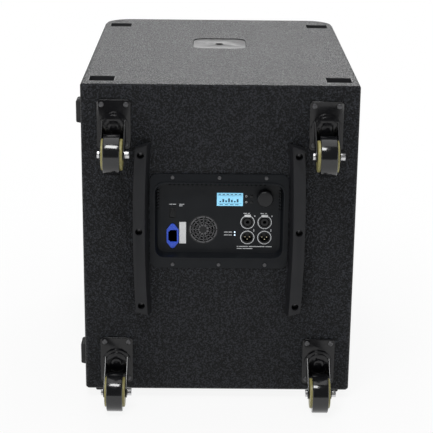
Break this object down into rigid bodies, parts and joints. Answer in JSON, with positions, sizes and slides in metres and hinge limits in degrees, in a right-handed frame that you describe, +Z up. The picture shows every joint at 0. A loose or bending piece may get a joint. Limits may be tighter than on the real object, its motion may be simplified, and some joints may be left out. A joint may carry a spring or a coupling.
{
  "type": "powered subwoofer",
  "caption": "Powered subwoofer in a plywood cabinet with an amplifier panel, transport rails, swivel casters, bar handles and pole sockets.",
  "frame": {"origin": "middle of the bounding box at floor level, the cabinet standing on its rubber feet", "axes": "+Z up, +Y from the amplifier wall to the grille, +X to the right as seen facing the amplifier"},
  "size_m": [0.521, 0.79, 0.622],
  "materials": {
    "cabinet_paint": "black textured paint on plywood",
    "plywood": "plain",
    "rubber": "matte",
    "black_plastic": "fine grain",
    "black_metal": "satin powder coat",
    "zinc": "blackened",
    "amp_finish": "satin",
    "board": "satin",
    "display": "lit",
    "inlet_blue": "satin",
    "contact": "plated",
    "socket_black": "satin",
    "led": "clear",
    "magnet": "satin",
    "paper": "matte",
    "surround": "matte",
    "foam": "open foam",
    "caster_steel": "gloss black",
    "latch": "satin",
    "steel": "zinc plated",
    "wheel_core": "satin",
    "tread": "semi gloss"
  },
  "bodies": {
    "cabinet": {"top_panel": "cabinet_paint", "bottom_panel": "cabinet_paint", "left_panel": "cabinet_paint", "right_panel": "cabinet_paint", "rear_panel": "cabinet_paint", "front_baffle": "cabinet_paint", "inner_boards": "plywood", "rubber_feet": "rubber", "stacking_cups": "black_plastic", "handle_cups": "black_plastic", "left_rail": "black_plastic", "right_rail": "black_plastic", "pole_sockets": "black_metal", "grille": "black_metal", "handle_bars": "black_metal", "woofer_frame": "black_metal", "rail_screws": "zinc", "amp_screws": "zinc", "caster_screws": "zinc", "amp_chassis": "zinc", "amp_frame": "amp_finish", "control_panel": "amp_finish", "circuit_board": "board", "display_lens": "display", "mains_inlet": "inlet_blue", "connector_pins": "contact", "input_jacks": "socket_black", "output_jacks": "socket_black", "switch_bezel": "socket_black", "fan_housing": "socket_black", "status_leds": "led", "woofer_magnet": "magnet", "woofer_suspension": "surround", "grille_foam": "foam", "caster_plates": "caster_steel"},
    "fork_upper_left": {"caster_fork_upper_left": "caster_steel", "caster_axle_upper_left": "steel"},
    "wheel_upper_left": {"caster_core_upper_left": "wheel_core", "caster_tread_upper_left": "tread"},
    "fork_upper_right": {"caster_fork_upper_right": "caster_steel", "caster_axle_upper_right": "steel"},
    "wheel_upper_right": {"caster_core_upper_right": "wheel_core", "caster_tread_upper_right": "tread"},
    "fork_lower_left": {"caster_fork_lower_left": "caster_steel", "caster_axle_lower_left": "steel"},
    "wheel_lower_left": {"caster_core_lower_left": "wheel_core", "caster_tread_lower_left": "tread"},
    "fork_lower_right": {"caster_fork_lower_right": "caster_steel", "caster_axle_lower_right": "steel"},
    "wheel_lower_right": {"caster_core_lower_right": "wheel_core", "caster_tread_lower_right": "tread"},
    "plunger": {"encoder_plunger": "socket_black"},
    "knob": {"encoder_knob": "socket_black"},
    "button_upper": {"menu_button_upper": "socket_black"},
    "button_lower": {"menu_button_lower": "socket_black"},
    "rocker": {"power_rocker": "socket_black"},
    "latch_left": {"left_jack_latch": "latch"},
    "latch_right": {"right_jack_latch": "latch"},
    "rotor": {"fan_rotor": "socket_black"},
    "cone": {"woofer_cone": "paper"}
  },
  "joints": [
    {"name": "swivel_upper_left", "type": "hinge", "parent": "cabinet", "child": "fork_upper_left", "pos_m": [-0.1885, -0.305, 0.5478], "axis": [0, 1, 0], "continuous": true},
    {"name": "roll_upper_left", "type": "hinge", "parent": "fork_upper_left", "child": "wheel_upper_left", "pos_m": [-0.1885, -0.358, 0.5053], "axis": [1, 0, 0], "continuous": true},
    {"name": "swivel_upper_right", "type": "hinge", "parent": "cabinet", "child": "fork_upper_right", "pos_m": [0.1995, -0.305, 0.5478], "axis": [0, 1, 0], "continuous": true},
    {"name": "roll_upper_right", "type": "hinge", "parent": "fork_upper_right", "child": "wheel_upper_right", "pos_m": [0.1995, -0.358, 0.5053], "axis": [1, 0, 0], "continuous": true},
    {"name": "swivel_lower_left", "type": "hinge", "parent": "cabinet", "child": "fork_lower_left", "pos_m": [-0.1885, -0.305, 0.0815], "axis": [0, 1, 0], "continuous": true},
    {"name": "roll_lower_left", "type": "hinge", "parent": "fork_lower_left", "child": "wheel_lower_left", "pos_m": [-0.1885, -0.358, 0.039], "axis": [1, 0, 0], "continuous": true},
    {"name": "swivel_lower_right", "type": "hinge", "parent": "cabinet", "child": "fork_lower_right", "pos_m": [0.1995, -0.305, 0.0815], "axis": [0, 1, 0], "continuous": true},
    {"name": "roll_lower_right", "type": "hinge", "parent": "fork_lower_right", "child": "wheel_lower_right", "pos_m": [0.1995, -0.358, 0.039], "axis": [1, 0, 0], "continuous": true},
    {"name": "encoder_press", "type": "slide", "parent": "cabinet", "child": "plunger", "axis": [0, 1, 0], "range_m": [0, 0.0008], "stiffness_N_per_m": 2000, "springref_m": -0.001},
    {"name": "encoder_turn", "type": "hinge", "parent": "plunger", "child": "knob", "pos_m": [0.091, -0.288, 0.4063], "axis": [0, 1, 0], "continuous": true},
    {"name": "upper_button_press", "type": "slide", "parent": "cabinet", "child": "button_upper", "axis": [0, 1, 0], "range_m": [0, 0.0008], "stiffness_N_per_m": 1500, "springref_m": -0.0005},
    {"name": "lower_button_press", "type": "slide", "parent": "cabinet", "child": "button_lower", "axis": [0, 1, 0], "range_m": [0, 0.0008], "stiffness_N_per_m": 1500, "springref_m": -0.0005},
    {"name": "power_rock", "type": "hinge", "parent": "cabinet", "child": "rocker", "pos_m": [-0.0815, -0.288, 0.374], "axis": [1, 0, 0], "range_deg": [0, 16]},
    {"name": "left_latch_press", "type": "slide", "parent": "cabinet", "child": "latch_left", "axis": [0, 1, 0], "range_m": [0, 0.0012], "stiffness_N_per_m": 1500, "springref_m": -0.0005},
    {"name": "right_latch_press", "type": "slide", "parent": "cabinet", "child": "latch_right", "axis": [0, 1, 0], "range_m": [0, 0.0012], "stiffness_N_per_m": 1500, "springref_m": -0.0005},
    {"name": "fan_spin", "type": "hinge", "parent": "cabinet", "child": "rotor", "pos_m": [-0.0242, -0.281, 0.3417], "axis": [0, 1, 0], "continuous": true},
    {"name": "cone_stroke", "type": "slide", "parent": "cabinet", "child": "cone", "axis": [0, 1, 0], "range_m": [-0.006, 0.006], "stiffness_N_per_m": 9000}
  ]
}
